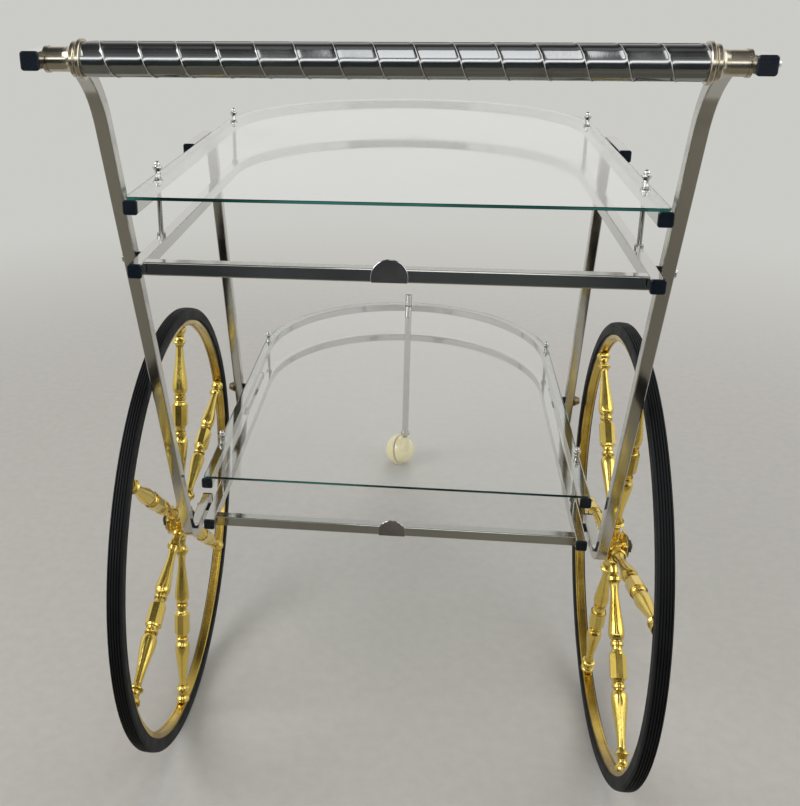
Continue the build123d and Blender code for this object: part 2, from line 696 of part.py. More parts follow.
def rim():
    """Brass rim with a lip along each inner edge and a socket for every spoke."""
    half = RIM_WIDTH / 2
    lip = RIM_INNER_RADIUS
    band = turned([
        (TYRE_SEAT_RADIUS, -half),
        (TYRE_SEAT_RADIUS, half),
        (lip + RIM_LIP / 2, half),
        (lip, half - RIM_LIP / 3),
        (lip, half - RIM_LIP),
        (lip + RIM_CHANNEL, half - RIM_LIP - RIM_CHANNEL / 2),
        (lip + RIM_CHANNEL, -half + RIM_LIP + RIM_CHANNEL / 2),
        (lip, -half + RIM_LIP),
        (lip, -half + RIM_LIP / 3),
        (lip + RIM_LIP / 2, -half),
    ])
    for angle in spoke_angles():
        hole = bar((lip - TUBE, 0, 0), RIGHT, SPOKE_FOOT_TENON_RADIUS + HOLE_GAP, 2 * TUBE)
        band = band - Rot(0, 0, angle) * hole
    return band


def hub():
    """Turned hub about local Z, which runs outward: two flanges, the outer one on a flared neck."""
    bore = AXLE_RADIUS + RUNNING_GAP
    seat = HUB_INNER - HUB_FLANGE - EDGE_BREAK
    neck = (HUB_RADIUS + HUB_FLANGE_RADIUS) / 2
    body = turned([
        (bore, -HUB_INNER),
        (HUB_FLANGE_RADIUS - 2 * EDGE_BREAK, -HUB_INNER),
        (HUB_FLANGE_RADIUS, -HUB_INNER + EDGE_BREAK),
        (HUB_FLANGE_RADIUS, -HUB_INNER + HUB_FLANGE),
        (HUB_RADIUS, -seat),
        (HUB_RADIUS, seat),
        (neck - EDGE_BREAK, seat + EDGE_BREAK),
        (neck, seat + 2 * EDGE_BREAK),
        (neck, HUB_OUTER - HUB_FLANGE - EDGE_BREAK / 2),
        (HUB_FLANGE_RADIUS, HUB_OUTER - HUB_FLANGE),
        (HUB_FLANGE_RADIUS, HUB_OUTER - EDGE_BREAK),
        (HUB_FLANGE_RADIUS - 2 * EDGE_BREAK, HUB_OUTER),
        (bore, HUB_OUTER),
    ])
    depth = SPOKE_TENON_START - HOLE_GAP
    for angle in spoke_angles():
        hole = bar((depth, 0, 0), RIGHT, SPOKE_TENON_RADIUS + HOLE_GAP, 2 * HUB_RADIUS)
        body = body - Rot(0, 0, angle) * hole
    return body


def spoke_angles():
    """Turns of the spokes about the wheel axis, from the first spoke."""
    return [360 / SPOKE_COUNT * index for index in range(SPOKE_COUNT)]


def spoke():
    """Turned baluster spoke along local X: beads, two vases, rings and an eight-sided barrel.

    The runs are drawn as (distance from the wheel axis, radius) for one length and thickness, and
    are stretched to the hub, rim and foot of this wheel.
    """
    drawn_hub = 10.0
    drawn_foot = 206.83
    drawn_radius = 7.0
    shoulder = 10.5
    start = 105.0
    end = 127.0
    foot = math.sqrt(RIM_INNER_RADIUS**2 - SPOKE_FOOT_RADIUS**2) - SEAT_GAP
    stretch = (foot - HUB_RADIUS) / (drawn_foot - drawn_hub)
    swell = SPOKE_FOOT_RADIUS / drawn_radius
    runs = (
        ("line", [(shoulder, SPOKE_TENON_RADIUS / swell), (shoulder, 4.2)]),
        ("curve", [(shoulder, 4.2), (12.5, 5.2), (15.5, 5.8), (18.5, 5.4), (20.5, 4.6)]),
        ("line", [(20.5, 4.6), (27.5, 4.4)]),
        ("curve", [(27.5, 4.4), (30.4, 5.4), (32.6, 7.3)]),
        ("line", [(32.6, 7.3), (33.8, 7.3), (34.2, 6.9), (35.4, 6.9), (36.0, 6.3), (36.0, 5.6)]),
        ("curve", [(36.0, 5.6), (39.0, 4.6), (45.0, 3.9), (56.0, 4.6), (70.0, 6.2), (84.0, 7.6)]),
        ("curve", [(84.0, 7.6), (90.0, 6.6), (92.2, 4.9)]),
        ("line", [(92.2, 4.9), (93.4, 4.9), (93.4, 6.0), (94.2, 6.4)]),
        ("line", [(94.2, 6.4), (96.4, 6.4), (97.2, 5.9), (97.2, 5.0)]),
        ("curve", [(97.2, 5.0), (99.5, 4.8), (101.5, 5.2), (103.0, 6.3)]),
        ("line", [(103.0, 6.3), (start, 7.0), (end, 7.0), (129.0, 6.3)]),
        ("curve", [(129.0, 6.3), (130.0, 5.3), (131.0, 5.0), (132.0, 5.0)]),
        ("line", [(132.0, 5.0), (132.0, 6.0), (132.8, 6.5), (135.0, 6.5)]),
        ("line", [(135.0, 6.5), (135.8, 6.0), (135.8, 4.9), (137.2, 4.9)]),
        ("curve", [(137.2, 4.9), (139.4, 6.7), (146.0, 7.7), (158.0, 6.5), (172.0, 4.8), (187.0, 3.7)]),
        ("curve", [(187.0, 3.7), (189.6, 4.6), (191.8, 6.7)]),
        ("line", [(191.8, 6.7), (192.6, 7.0), (193.4, 6.7)]),
        ("curve", [(193.4, 6.7), (195.6, 4.9), (198.4, 4.3), (201.0, 5.0), (203.0, 6.6)]),
        ("line", [(203.0, 6.6), (204.0, drawn_radius), (206.0, drawn_radius), (drawn_foot, 6.6)]),
        ("line", [(drawn_foot, 6.6), (drawn_foot, SPOKE_FOOT_TENON_RADIUS / swell)]),
    )

    def along(drawn):
        return HUB_RADIUS + (drawn - drawn_hub) * stretch

    edges = []
    for kind, points in runs:
        spots = [(along(drawn), 0, radius * swell) for drawn, radius in points]
        if kind == "curve":
            edges.append(Edge.make_spline([Vector(spot) for spot in spots]))
        else:
            for first, second in zip(spots, spots[1:]):
                edges.append(Edge.make_line(first, second))
    tenon_end = RIM_INNER_RADIUS + SPOKE_FOOT_TENON
    core = [
        (along(drawn_foot), SPOKE_FOOT_TENON_RADIUS),
        (tenon_end, SPOKE_FOOT_TENON_RADIUS),
        (tenon_end, 0),
        (SPOKE_TENON_START, 0),
        (SPOKE_TENON_START, SPOKE_TENON_RADIUS),
        (along(shoulder), SPOKE_TENON_RADIUS),
    ]
    for first, second in zip(core, core[1:]):
        edges.append(Edge.make_line((first[0], 0, first[1]), (second[0], 0, second[1])))
    body = revolve(Face(Wire(edges)), axis=Axis.X)
    octagon = Plane(origin=(along(start), 0, 0), x_dir=UP, z_dir=RIGHT) * RegularPolygon(
        SPOKE_BARREL_RADIUS, SPOKE_BARREL_SIDES, rotation=180 / SPOKE_BARREL_SIDES
    )
    return Part() + body + extrude(octagon, amount=(end - start) * stretch)


def wheel(name, side, angle):
    """Hub, spokes, rim and tyre of one wheel at its rest angle."""
    turn = math.radians(angle)
    seat = Plane(
        origin=place(side * WHEEL_X, 0, WHEEL_RADIUS),
        x_dir=(0, math.cos(turn), math.sin(turn)),
        z_dir=(side, 0, 0),
    ).location
    one = spoke()
    save(name + "_hub", seat * hub())
    save(name + "_spokes", [seat * Rot(0, 0, step) * one for step in spoke_angles()])
    save(name + "_rim", seat * rim())
    save(name + "_tyre", seat * tyre())


def caster_post():
    """Round post behind the lower shelf's rails, bored for the caster stem, with its collar and screws."""
    post = turned([
        (0, POST_BOTTOM),
        (POST_RADIUS - EDGE_BREAK, POST_BOTTOM),
        (POST_RADIUS, POST_BOTTOM + EDGE_BREAK),
        (POST_RADIUS, POST_TOP - EDGE_BREAK),
        (POST_RADIUS - EDGE_BREAK, POST_TOP),
        (0, POST_TOP),
    ])
    foot = place(0, POST_Y, 0)
    post = seated(post, foot, UP)
    mouth = POST_BOTTOM - CUT_OVERRUN
    post = post - bar(place(0, POST_Y, mouth), UP, POST_BORE_RADIUS, POST_BORE_TOP - mouth)
    levels = (LOWER_RAIL_Z, LOWER_RAIL_Z + RAIL_RISE)
    head_y = LOWER_NEAR + ARC_CENTRE + RAIL_OUTER
    length = TUBE + POST_SCREW_GRIP
    for z in levels:
        start = place(0, head_y - length - HOLE_GAP, z)
        post = post - bar(start, BACK, POST_SCREW_RADIUS + HOLE_GAP, length)
    save("caster_post", post)
    screws = [
        screw(
            place(0, head_y, z),
            (0, -1, 0),
            POST_SCREW_RADIUS,
            length,
            POST_SCREW_HEAD_RADIUS,
            POST_SCREW_HEAD_HEIGHT,
        )
        for z in levels
    ]
    save("caster_post_screws", screws)
    ring = turned([
        (POST_RADIUS + SEAT_GAP, POST_COLLAR_LOW),
        (POST_COLLAR_RADIUS - EDGE_BREAK, POST_COLLAR_LOW),
        (POST_COLLAR_RADIUS, POST_COLLAR_LOW + EDGE_BREAK),
        (POST_COLLAR_RADIUS, POST_COLLAR_HIGH),
        (POST_RADIUS + SEAT_GAP, POST_COLLAR_HIGH),
    ])
    save("caster_post_collar", seated(ring, foot, UP))


def caster():
    """Ball caster: a hood on the swivel stem and a tilted domed wheel on its own pin."""
    tilt = math.radians(CASTER_TILT)
    pivot = Vector(place(0, POST_Y, 0))
    centre = pivot + CASTER_OFFSET + Vector(0, 0, BALL_RADIUS)
    axis = CASTER_FLAT * math.cos(tilt) - Vector(0, 0, math.sin(tilt))
    split = Plane(origin=centre, z_dir=axis)
    half_gap = SPLIT_GAP / 2

    block = 4 * BALL_RADIUS
    dome = Sphere(BALL_RADIUS) - Pos(0, 0, half_gap) * Box(block, block, block, align=BELOW)
    socket = bar((0, 0, 0), UP, CASTER_AXLE_RADIUS + RUNNING_GAP, CASTER_AXLE_REACH + BODY_GAP)
    save("caster_wheel", split.location * (dome - socket))

    pin_start = -CASTER_AXLE_REACH
    pin = bar((0, 0, pin_start), UP, CASTER_AXLE_RADIUS, 2 * CASTER_AXLE_REACH)
    save("caster_axle", split.location * pin)

    shell = Sphere(HOOD_RADIUS) - Pos(0, 0, -half_gap) * Box(block, block, block, align=ABOVE)
    pin_hole = bar((0, 0, pin_start - HOLE_GAP), UP, CASTER_AXLE_RADIUS + SEAT_GAP, 2 * CASTER_AXLE_REACH)
    hood = split.location * (shell - pin_hole)
    boss_foot = centre.Z
    boss = bar((pivot.X, pivot.Y, boss_foot), UP, HOOD_BOSS_RADIUS, HOOD_BOSS_TOP - boss_foot)
    stem_radius = POST_BORE_RADIUS - RUNNING_GAP
    stem_hole = bar((pivot.X, pivot.Y, STEM_BOTTOM), UP, stem_radius + SEAT_GAP, HOOD_BOSS_TOP)
    save("caster_hood", Part() + hood + boss - stem_hole)
    stem_foot = STEM_BOTTOM + HOLE_GAP
    save("caster_stem", bar((pivot.X, pivot.Y, stem_foot), UP, stem_radius, STEM_TOP - stem_foot))


os.makedirs(PARTS_FOLDER, exist_ok=True)
for leg_name, leg_side in (("left", -1), ("right", 1)):
    save("front_leg_" + leg_name, front_leg(leg_side))
    save("rear_leg_" + leg_name, rear_leg(leg_side))
shelf(
    "upper_shelf",
    UPPER_NEAR,
    UPPER_RAIL_Z,
    ((0, FRONT_SCREW_Y, SCREW_RADIUS), (1, REAR_TOP_SCREW_Y, SCREW_RADIUS)),
)
shelf(
    "lower_shelf",
    LOWER_NEAR,
    LOWER_RAIL_Z,
    (
        (0, STUB_SCREW_Y, SCREW_RADIUS),
        (0, REAR_BOTTOM_SCREW_Y, SCREW_RADIUS),
        (1, BRACE_Y, SCREW_RADIUS),
    ),
)
frame_hardware()
handle()
axles()
wheel("left_wheel", -1, LEFT_WHEEL_ANGLE)
wheel("right_wheel", 1, RIGHT_WHEEL_ANGLE)
caster_post()
caster()
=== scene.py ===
# %% [markdown]
# # A bar cart on tall spoked wheels
# The cart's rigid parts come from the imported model, one object per piece, in metres. This lesson keeps
# them where they are and gives them their finishes: worn chrome, brass, rubber, glass and ivory plastic.
# One piece is made new here, the strip-wound handle grip, because its seams run in a spiral that is
# easier to write as a formula than to draw.

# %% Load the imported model
import math

import bmesh
import bpy
import numpy as np
from mathutils import Matrix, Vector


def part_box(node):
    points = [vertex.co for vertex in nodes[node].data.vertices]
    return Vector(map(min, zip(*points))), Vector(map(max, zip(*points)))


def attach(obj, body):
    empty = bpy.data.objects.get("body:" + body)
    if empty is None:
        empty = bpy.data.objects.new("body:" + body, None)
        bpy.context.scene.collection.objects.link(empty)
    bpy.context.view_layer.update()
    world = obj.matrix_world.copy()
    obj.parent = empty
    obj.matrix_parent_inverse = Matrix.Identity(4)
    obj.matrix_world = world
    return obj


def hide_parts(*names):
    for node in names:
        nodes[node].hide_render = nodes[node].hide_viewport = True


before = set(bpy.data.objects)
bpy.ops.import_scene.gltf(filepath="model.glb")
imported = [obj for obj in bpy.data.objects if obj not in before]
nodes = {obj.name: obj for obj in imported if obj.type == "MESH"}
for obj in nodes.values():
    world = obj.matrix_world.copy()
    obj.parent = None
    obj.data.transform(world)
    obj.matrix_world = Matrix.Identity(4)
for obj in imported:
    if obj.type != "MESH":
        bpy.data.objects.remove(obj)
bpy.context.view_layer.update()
scene = bpy.context.scene
scene.view_settings.view_transform = "Standard"

# %% [markdown]
# ## Camera
# The picture is taken from the handle end, about a metre away and a little above the handle, looking
# down at the lower shelf. A camera is a place and three turns: yaw about the upright, pitch down, and a
# slight roll. Writing its three axes out as vectors keeps the order of the turns plain. The lens is
# given in pixels of an 800 by 806 image, and Blender wants it in millimetres on a 36 mm sensor, where
# the long side of the image fills the sensor. The lines of the two crossbars and the handle slope a little
# more the lower they lie, which a cropped picture does: its optical axis meets the picture left of and
# above the middle, so the frame is shifted right and down by that much.

# %% Place the camera
PICTURE_WIDE, PICTURE_LONG = 800, 806
SENSOR_MM = 36.0
LENS_PIXELS = 979.0
AXIS_COLUMN, AXIS_ROW = 321.3, 314.1
CAMERA_PLACE = (0.0285, -1.0139, 0.7782)
YAW, PITCH, ROLL = (math.radians(turn) for turn in (6.536, 19.693, -0.262))

ahead = np.array([-math.sin(YAW) * math.cos(PITCH), math.cos(YAW) * math.cos(PITCH), -math.sin(PITCH)])
level = np.array([math.cos(YAW), math.sin(YAW), 0.0])
upright = np.cross(level, ahead)
right = level * math.cos(ROLL) + upright * math.sin(ROLL)
up = upright * math.cos(ROLL) - level * math.sin(ROLL)

camera = bpy.data.objects.new("camera", bpy.data.cameras.new("camera"))
scene.collection.objects.link(camera)
camera.data.lens = LENS_PIXELS / PICTURE_LONG * SENSOR_MM
camera.data.shift_x = (PICTURE_WIDE / 2 - AXIS_COLUMN) / PICTURE_LONG
camera.data.shift_y = (AXIS_ROW - PICTURE_LONG / 2) / PICTURE_LONG
turn = np.column_stack([right, up, -ahead])
camera.matrix_world = Matrix.Translation(CAMERA_PLACE) @ Matrix(turn.tolist()).to_4x4()
scene.camera = camera
print("camera lens", round(camera.data.lens, 2), "mm, shifted", round(camera.data.shift_x, 3),
      round(camera.data.shift_y, 3))

# %% [markdown]
# ## Small helpers for shader nodes
# A material is a graph of nodes. A few helpers keep its code short: one fills the sockets of a node, one
# adds a node, and one starts a material that holds a Principled shader and an object coordinate.

# %% Node helpers
def fill(tree, node, sockets):
    """Fill input sockets with values or links; a socket goes by its label, or as i0, i1 by its number."""
    for label, value in sockets.items():
        socket = node.inputs[int(label[1:])] if label[1:].isdigit() else node.inputs[label.replace("_", " ")]
        if isinstance(value, bpy.types.NodeSocket):
            tree.links.new(value, socket)
        else:
            socket.default_value = value


def add(tree, kind, fields=None, **sockets):
    """Add a node, set its fields, then fill its input sockets."""
    node = tree.nodes.new("ShaderNode" + kind)
    for field, value in (fields or {}).items():
        setattr(node, field, value)
    fill(tree, node, sockets)
    return node


def bare_material(name, **settings):
    """New material: returns it, its tree, its Principled shader and its object coordinate socket."""
    material = bpy.data.materials.new(name)
    material.use_nodes = True
    tree = material.node_tree
    shader = tree.nodes["Principled BSDF"]
    for label, value in settings.items():
        shader.inputs[label.replace("_", " ")].default_value = value
    where = tree.nodes.new("ShaderNodeTexCoord").outputs["Object"]
    return material, tree, shader, where


def math_node(tree, operation, first, second):
    """One sum of two values, as a node's output socket."""
    return add(tree, "Math", {"operation": operation}, i0=first, i1=second).outputs[0]


print("helpers ready")

# %% [markdown]
# ## Effects that several finishes share
# Polished metal that has been handled for decades is not one smooth mirror. Fingers leave broad smudges
# that are a little rougher, wiping leaves fine hairlines, and thin plating follows a slightly wavy tube.
# A second effect is tarnish, cloudy patches where the metal has gone dull and darker. Both are node
# groups, so each metal can have them with its own colours and scale.

# %% Shader node groups
def new_group(name, inputs, outputs):
    """Empty shader node group with named sockets: returns the group, its input node and its output node."""
    group = bpy.data.node_groups.new(name, "ShaderNodeTree")
    for label, kind, value in inputs:
        socket = group.interface.new_socket(label, in_out="INPUT", socket_type="NodeSocket" + kind)
        if value is not None:
            socket.default_value = value
    for label, kind in outputs:
        group.interface.new_socket(label, in_out="OUTPUT", socket_type="NodeSocket" + kind)
    return group, group.nodes.new("NodeGroupInput"), group.nodes.new("NodeGroupOutput")


def make_handling_wear():
    """Smudges are soft noise mapped to a rough and a smooth level; hairlines are fine stretched noise."""
    group, given, made = new_group(
        "handling wear",
        [("Vector", "Vector", None), ("Smudge Scale", "Float", 12.0), ("Smooth", "Float", 0.08),
         ("Rough", "Float", 0.22), ("Waviness", "Float", 0.3)],
        [("Roughness", "Float"), ("Height", "Float")],
    )
    place = given.outputs["Vector"]
    smudge = add(group, "TexNoise", Vector=place, Scale=given.outputs["Smudge Scale"], Detail=5.0,
                 Roughness=0.6)
    level = add(group, "MapRange", Value=smudge.outputs[0], From_Min=0.38, From_Max=0.68,
                To_Min=given.outputs["Smooth"], To_Max=given.outputs["Rough"])
    stretched = add(group, "VectorMath", {"operation": "MULTIPLY"}, i0=place, i1=(1.0, 0.35, 0.12))
    hairline = add(group, "TexNoise", Vector=stretched.outputs[0], Scale=1400.0, Detail=2.0)
    touch = math_node(group, "MULTIPLY", hairline.outputs[0], 0.06)
    wave = add(group, "TexNoise", Vector=place, Scale=38.0, Detail=1.0)
    swell = math_node(group, "MULTIPLY", wave.outputs[0], given.outputs["Waviness"])
    group.links.new(math_node(group, "ADD", level.outputs[0], math_node(group, "SUBTRACT", touch, 0.03)),
                    made.inputs["Roughness"])
    group.links.new(math_node(group, "ADD", swell, touch), made.inputs["Height"])
    return group


def make_tarnish():
    """Two noises, cloudy and specked, are added and cut at a threshold into a mask between two colours."""
    group, given, made = new_group(
        "tarnish",
        [("Vector", "Vector", None), ("Scale", "Float", 9.0), ("Spread", "Float", 0.5),
         ("Clean", "Color", (0.8, 0.8, 0.8, 1)), ("Dull", "Color", (0.4, 0.4, 0.4, 1))],
        [("Color", "Color"), ("Mask", "Float")],
    )
    place = given.outputs["Vector"]
    cloud = add(group, "TexNoise", Vector=place, Scale=given.outputs["Scale"], Detail=6.0, Distortion=0.5)
    speck = add(group, "TexNoise", Vector=place, Scale=420.0, Detail=2.0)
    mixed = math_node(group, "ADD", cloud.outputs[0], math_node(group, "MULTIPLY", speck.outputs[0], 0.22))
    low = math_node(group, "SUBTRACT", 1.02, given.outputs["Spread"])
    mask = add(group, "MapRange", {"interpolation_type": "SMOOTHSTEP"}, Value=mixed,
               From_Min=low, From_Max=math_node(group, "ADD", low, 0.3))
    colour = add(group, "Mix", {"data_type": "RGBA"}, i0=mask.outputs[0], i6=given.outputs["Clean"],
                 i7=given.outputs["Dull"])
    group.links.new(colour.outputs[2], made.inputs["Color"])
    group.links.new(mask.outputs[0], made.inputs["Mask"])
    return group


def make_pebble():
    """Fine pebble of moulded rubber or plastic: cell noise for the bumps, cloudy noise for dusty patches."""
    group, given, made = new_group(
        "pebble",
        [("Vector", "Vector", None), ("Scale", "Float", 900.0), ("Deep", "Color", (0.02, 0.02, 0.02, 1)),
         ("Dusty", "Color", (0.05, 0.05, 0.05, 1))],
        [("Color", "Color"), ("Height", "Float"), ("Dust", "Float")],
    )
    place = given.outputs["Vector"]
    cell = add(group, "TexVoronoi", Vector=place, Scale=given.outputs["Scale"])
    dust = add(group, "TexNoise", Vector=place, Scale=26.0, Detail=7.0, Roughness=0.7)
    patch = add(group, "MapRange", Value=dust.outputs[0], From_Min=0.42, From_Max=0.72)
    colour = add(group, "Mix", {"data_type": "RGBA"}, i0=patch.outputs[0], i6=given.outputs["Deep"],
                 i7=given.outputs["Dusty"])
    group.links.new(colour.outputs[2], made.inputs["Color"])
    group.links.new(cell.outputs["Distance"], made.inputs["Height"])
    group.links.new(patch.outputs[0], made.inputs["Dust"])
    return group


HANDLING_WEAR = make_handling_wear()
TARNISH = make_tarnish()
PEBBLE = make_pebble()


def use(tree, group, **sockets):
    """Place a node group in a material with its own values."""
    node = tree.nodes.new("ShaderNodeGroup")
    node.node_tree = group
    fill(tree, node, sockets)
    return node


print("groups:", ", ".join(group.name for group in (HANDLING_WEAR, TARNISH, PEBBLE)))

# %% [markdown]
# ## Metals
# Chrome, nickel, brass and bronze differ in colour, in how evenly they have dulled and in how sharp they
# reflect. One function builds them all: tarnish gives the colour, handling wear gives the roughness and
# a very shallow bump. The bump is what makes a straight reflection in a tube waver as it does on the
# real plated tube. Legs, rails, rods and badges each have a grey of their own; the legs' grey is set darker
# as painted shade, for the shaded floor their fronts reflect. The rims are a browner brass than the spokes.

# %% Build the metals
METAL_BUMP = 0.0004


def metal(name, clean, dull, spread, smooth, rough, waviness, scale=9.0):
    """Aged metal: two tarnish colours and their spread, two roughness levels, waviness and cloud scale."""
    material, tree, shader, where = bare_material(name, Metallic=1.0)
    colour = use(tree, TARNISH, Vector=where, Scale=scale, Spread=spread, Clean=clean, Dull=dull)
    wear = use(tree, HANDLING_WEAR, Vector=where, Smooth=smooth, Rough=rough, Waviness=waviness)
    bump = add(tree, "Bump", Strength=0.35, Distance=METAL_BUMP, Height=wear.outputs["Height"])
    tree.links.new(colour.outputs["Color"], shader.inputs["Base Color"])
    tree.links.new(wear.outputs["Roughness"], shader.inputs["Roughness"])
    tree.links.new(bump.outputs[0], shader.inputs["Normal"])
    return material


chrome = metal("worn chrome", (0.60, 0.60, 0.575, 1), (0.43, 0.42, 0.39, 1), 0.34, 0.06, 0.17, 0.4, 5.0)
# The legs' chrome is a little darker than the rest: painted shade for the shaded floor their fronts reflect.
shaded_leg_chrome = metal("grey chrome", (0.57, 0.565, 0.53, 1), (0.42, 0.41, 0.37, 1), 0.38, 0.10, 0.22, 0.4, 5.0)
bright_chrome = metal("bright chrome", (0.70, 0.70, 0.68, 1), (0.46, 0.45, 0.42, 1), 0.34, 0.05, 0.14, 0.1)
rod_chrome = metal("rod chrome", (0.36, 0.355, 0.34, 1), (0.25, 0.245, 0.235, 1), 0.38, 0.07, 0.19, 0.3)
dark_chrome = metal("dark chrome", (0.47, 0.45, 0.47, 1), (0.31, 0.29, 0.30, 1), 0.45, 0.12, 0.26, 0.2)
nickel = metal("warm nickel", (0.58, 0.53, 0.43, 1), (0.40, 0.35, 0.26, 1), 0.40, 0.12, 0.26, 0.25)
steel = metal("plain steel", (0.50, 0.50, 0.50, 1), (0.30, 0.29, 0.28, 1), 0.45, 0.25, 0.4, 0.1)
bronze = metal("dark bronze", (0.22, 0.16, 0.09, 1), (0.09, 0.07, 0.05, 1), 0.5, 0.22, 0.42, 0.2)
rim_brass = metal("rim brass", (0.70, 0.51, 0.12, 1), (0.38, 0.25, 0.045, 1), 0.5, 0.15, 0.28, 0.15, 14.0)
metals = (chrome, shaded_leg_chrome, bright_chrome, rod_chrome, dark_chrome, nickel, steel, bronze, rim_brass)
print("metals:", ", ".join(material.name for material in metals))

# %% [markdown]
# ## Brass
# The spokes are turned brass. The bottoms of the turned grooves are painted dark brown as painted shade,
# since little light reaches into them. The grooves lie at fixed distances from the axle, the same on all
# spokes, so a colour ramp read by that distance paints them on both wheels at once. The distance is the
# length of the object coordinate after the axle's own line is taken off it and X is dropped.

# %% Build the brass
AXLE_Y = float(np.mean([corner[1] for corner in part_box("axle_pins")]))
AXLE_Z = float(np.mean([corner[2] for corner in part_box("axle_pins")]))
GROOVES = (0.0215, 0.0285, 0.0372, 0.0928, 0.0980, 0.1312, 0.1364, 0.1885, 0.1984)
GROOVE_HALF = 0.0016
GROOVE_REACH = 0.22

brass, tree, shader, where = bare_material("polished brass", Metallic=1.0)
colour = use(tree, TARNISH, Vector=where, Scale=16.0, Spread=0.42, Clean=(0.88, 0.67, 0.17, 1),
             Dull=(0.64, 0.45, 0.085, 1))
wear = use(tree, HANDLING_WEAR, Vector=where, Smudge_Scale=30.0, Smooth=0.15, Rough=0.27, Waviness=0.12)
from_axle = add(tree, "Mapping", Vector=where, Location=(0.0, -AXLE_Y, -AXLE_Z), Scale=(0.0, 1.0, 1.0))
distance = add(tree, "VectorMath", {"operation": "LENGTH"}, i0=from_axle.outputs[0])
ramp = add(tree, "ValToRGB", Fac=math_node(tree, "DIVIDE", distance.outputs["Value"], GROOVE_REACH))
stops = ramp.color_ramp.elements
stops[0].color = (0, 0, 0, 1)
stops[1].color = (0, 0, 0, 1)
for groove in GROOVES:
    for offset, level in ((-GROOVE_HALF, 0.0), (0.0, 1.0), (GROOVE_HALF, 0.0)):
        stops.new((groove + offset) / GROOVE_REACH).color = (level, level, level, 1)
# Painted shade: the ramp turns the brass dark brown at each groove.
groove_shade = math_node(tree, "MULTIPLY", ramp.outputs[0], 0.6)
groove_shaded = add(tree, "Mix", {"data_type": "RGBA"}, i0=groove_shade, i6=colour.outputs["Color"],
              i7=(0.20, 0.11, 0.02, 1))
bump = add(tree, "Bump", Strength=0.25, Distance=0.0002, Height=wear.outputs["Height"])
tree.links.new(groove_shaded.outputs[2], shader.inputs["Base Color"])
tree.links.new(wear.outputs["Roughness"], shader.inputs["Roughness"])
tree.links.new(bump.outputs[0], shader.inputs["Normal"])
print("brass grooves darkened at", len(GROOVES), "distances from the axle")

# %% [markdown]
# ## Rubber, plastic and glass
# The tyres are matt black rubber with dust on them, the square caps are satin plastic, and the caster is
# glossy ivory plastic that has yellowed in patches. Glass needs most thought: a sheet looks clear through
# its faces and dark green through its edge, because light runs a long way inside it. The edge faces are
# the ones whose normal lies flat, so the colour is mixed by the upward part of the normal. A faint glow
# that comes and goes along the edge stands for that light. For shadow and diffuse rays the sheet is made
# see-through, as a real sheet lets nearly all the light down to the shelf below.

# %% Build rubber, plastics and glass
def moulded(name, deep, dusty, grain, low, high, depth, **settings):
    """Rubber or plastic: pebbles of a grain and depth, and dust patches from low to high roughness."""
    material, tree, shader, where = bare_material(name, **settings)
    skin = use(tree, PEBBLE, Vector=where, Scale=grain, Deep=deep, Dusty=dusty)
    level = add(tree, "MapRange", Value=skin.outputs["Dust"], To_Min=low, To_Max=high)
    bump = add(tree, "Bump", Strength=0.3, Distance=depth, Height=skin.outputs["Height"])
    tree.links.new(skin.outputs["Color"], shader.inputs["Base Color"])
    tree.links.new(level.outputs[0], shader.inputs["Roughness"])
    tree.links.new(bump.outputs[0], shader.inputs["Normal"])
    return material


rubber = moulded("tyre rubber", (0.0030, 0.0038, 0.0046, 1), (0.008, 0.009, 0.011, 1), 1100.0,
                 0.55, 0.75, 0.0003, Specular_IOR_Level=0.25)
cap_plastic = moulded("cap plastic", (0.003, 0.007, 0.014, 1), (0.006, 0.010, 0.017, 1), 1600.0,
                      0.24, 0.38, 0.0001, Specular_IOR_Level=0.35)
ivory = moulded("ivory plastic", (0.83, 0.74, 0.41, 1), (0.74, 0.63, 0.31, 1), 300.0,
                0.18, 0.34, 0.00004, Coat_Weight=0.5, Coat_Roughness=0.12)

glass, tree, shader, where = bare_material("sheet glass", Transmission_Weight=1.0, IOR=1.5, Metallic=0.0,
                                    Emission_Strength=1.0)
facing = add(tree, "SeparateXYZ", Vector=add(tree, "NewGeometry").outputs["Normal"])
flat = math_node(tree, "ABSOLUTE", facing.outputs["Z"], 0.0)
edge = add(tree, "MapRange", Value=flat, From_Min=0.3, From_Max=0.6, To_Min=1.0, To_Max=0.0)
tint = add(tree, "Mix", {"data_type": "RGBA"}, i0=edge.outputs[0], i6=(0.965, 0.985, 0.975, 1),
           i7=(0.05, 0.30, 0.23, 1))
film = use(tree, HANDLING_WEAR, Vector=where, Smudge_Scale=5.0, Smooth=0.0, Rough=0.05, Waviness=0.0)
streak = add(tree, "TexNoise", Vector=where, Scale=7.0, Detail=2.0)
lively = add(tree, "MapRange", Value=streak.outputs[0], From_Min=0.46, From_Max=0.70)
glow = add(tree, "Mix", {"data_type": "RGBA"}, i0=lively.outputs[0], i6=(0.002, 0.014, 0.013, 1),
           i7=(0.030, 0.150, 0.120, 1))
lit_edge = add(tree, "Mix", {"data_type": "RGBA"}, i0=edge.outputs[0], i6=(0, 0, 0, 1), i7=glow.outputs[2])
clear = add(tree, "BsdfTransparent", Color=(0.93, 0.96, 0.95, 1))
ray = add(tree, "LightPath")
passing = math_node(tree, "MAXIMUM", ray.outputs["Is Shadow Ray"], ray.outputs["Is Diffuse Ray"])
blend = add(tree, "MixShader", Fac=passing, i1=shader.outputs[0], i2=clear.outputs[0])
tree.links.new(tint.outputs[2], shader.inputs["Base Color"])
tree.links.new(film.outputs["Roughness"], shader.inputs["Roughness"])
tree.links.new(lit_edge.outputs[2], shader.inputs["Emission Color"])
tree.links.new(blend.outputs[0], tree.nodes["Material Output"].inputs["Surface"])
print("built", rubber.name, cap_plastic.name, ivory.name, glass.name)

# %% [markdown]
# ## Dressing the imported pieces
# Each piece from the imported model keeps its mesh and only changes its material. A list of finishes and
# the pieces that wear them is all that is needed.

